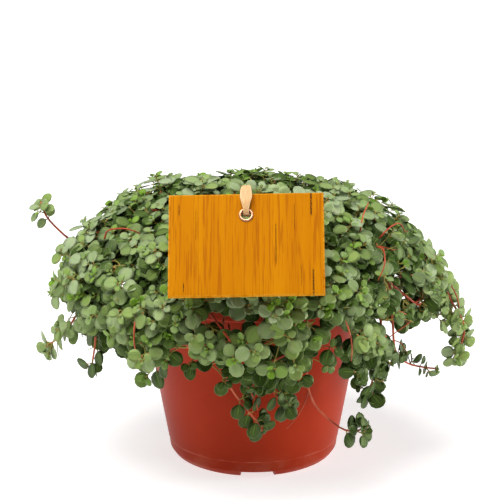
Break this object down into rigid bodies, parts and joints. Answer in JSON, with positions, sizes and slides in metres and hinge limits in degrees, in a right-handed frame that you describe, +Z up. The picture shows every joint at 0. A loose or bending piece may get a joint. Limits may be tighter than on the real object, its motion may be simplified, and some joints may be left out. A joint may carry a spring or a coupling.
{
  "type": "potted trailing plant",
  "caption": "Dome of small round glaucous leaves on trailing red stems over a tapered terracotta-coloured pot, with a bare wooden hang tag looped to a front stem.",
  "frame": {"origin": "on the pot's axis in the plane of the surface the pot stands on", "axes": "+Z up along the pot's axis, -Y towards the front where the tag hangs, +X to the right seen from the front"},
  "size_m": [0.2295, 0.2037, 0.1584],
  "materials": {
    "pot_plastic": "satin",
    "compost": "matte",
    "foliage": "matte",
    "tag_wood": "satin",
    "eyelet_metal": "satin",
    "strap_raffia": "matte"
  },
  "bodies": {
    "root": {"back_left_sprig": "foliage", "back_right_sprig": "foliage", "bottom_sprig": "foliage", "crown_stem_01": "foliage", "crown_stem_02": "foliage", "crown_stem_03": "foliage", "crown_stem_04": "foliage", "curtain_stem_01": "foliage", "curtain_stem_02": "foliage", "curtain_stem_03": "foliage", "curtain_stem_04": "foliage", "curtain_stem_05": "foliage", "curtain_stem_06": "foliage", "curtain_stem_07": "foliage", "curtain_stem_08": "foliage", "curtain_stem_09": "foliage", "curtain_stem_10": "foliage", "curtain_stem_11": "foliage", "eyelet": "eyelet_metal", "front_left_sprig": "foliage", "front_sprig": "foliage", "left_low_sprig": "foliage", "left_sprig": "foliage", "loop": "strap_raffia", "middle_sprig": "foliage", "pot": "pot_plastic", "right_inner_sprig": "foliage", "right_low_sprig": "foliage", "right_sprig": "foliage", "shoulder_stem_01": "foliage", "shoulder_stem_02": "foliage", "shoulder_stem_03": "foliage", "shoulder_stem_04": "foliage", "shoulder_stem_05": "foliage", "shoulder_stem_06": "foliage", "shoulder_stem_07": "foliage", "shoulder_stem_08": "foliage", "shoulder_stem_09": "foliage", "shoulder_stem_10": "foliage", "soil": "compost", "tag": "tag_wood", "tag_stem": "foliage", "upper_stem_01": "foliage", "upper_stem_02": "foliage", "upper_stem_03": "foliage", "upper_stem_04": "foliage", "upper_stem_05": "foliage", "upper_stem_06": "foliage", "upper_stem_07": "foliage", "upper_stem_08": "foliage"}
  },
  "joints": []
}
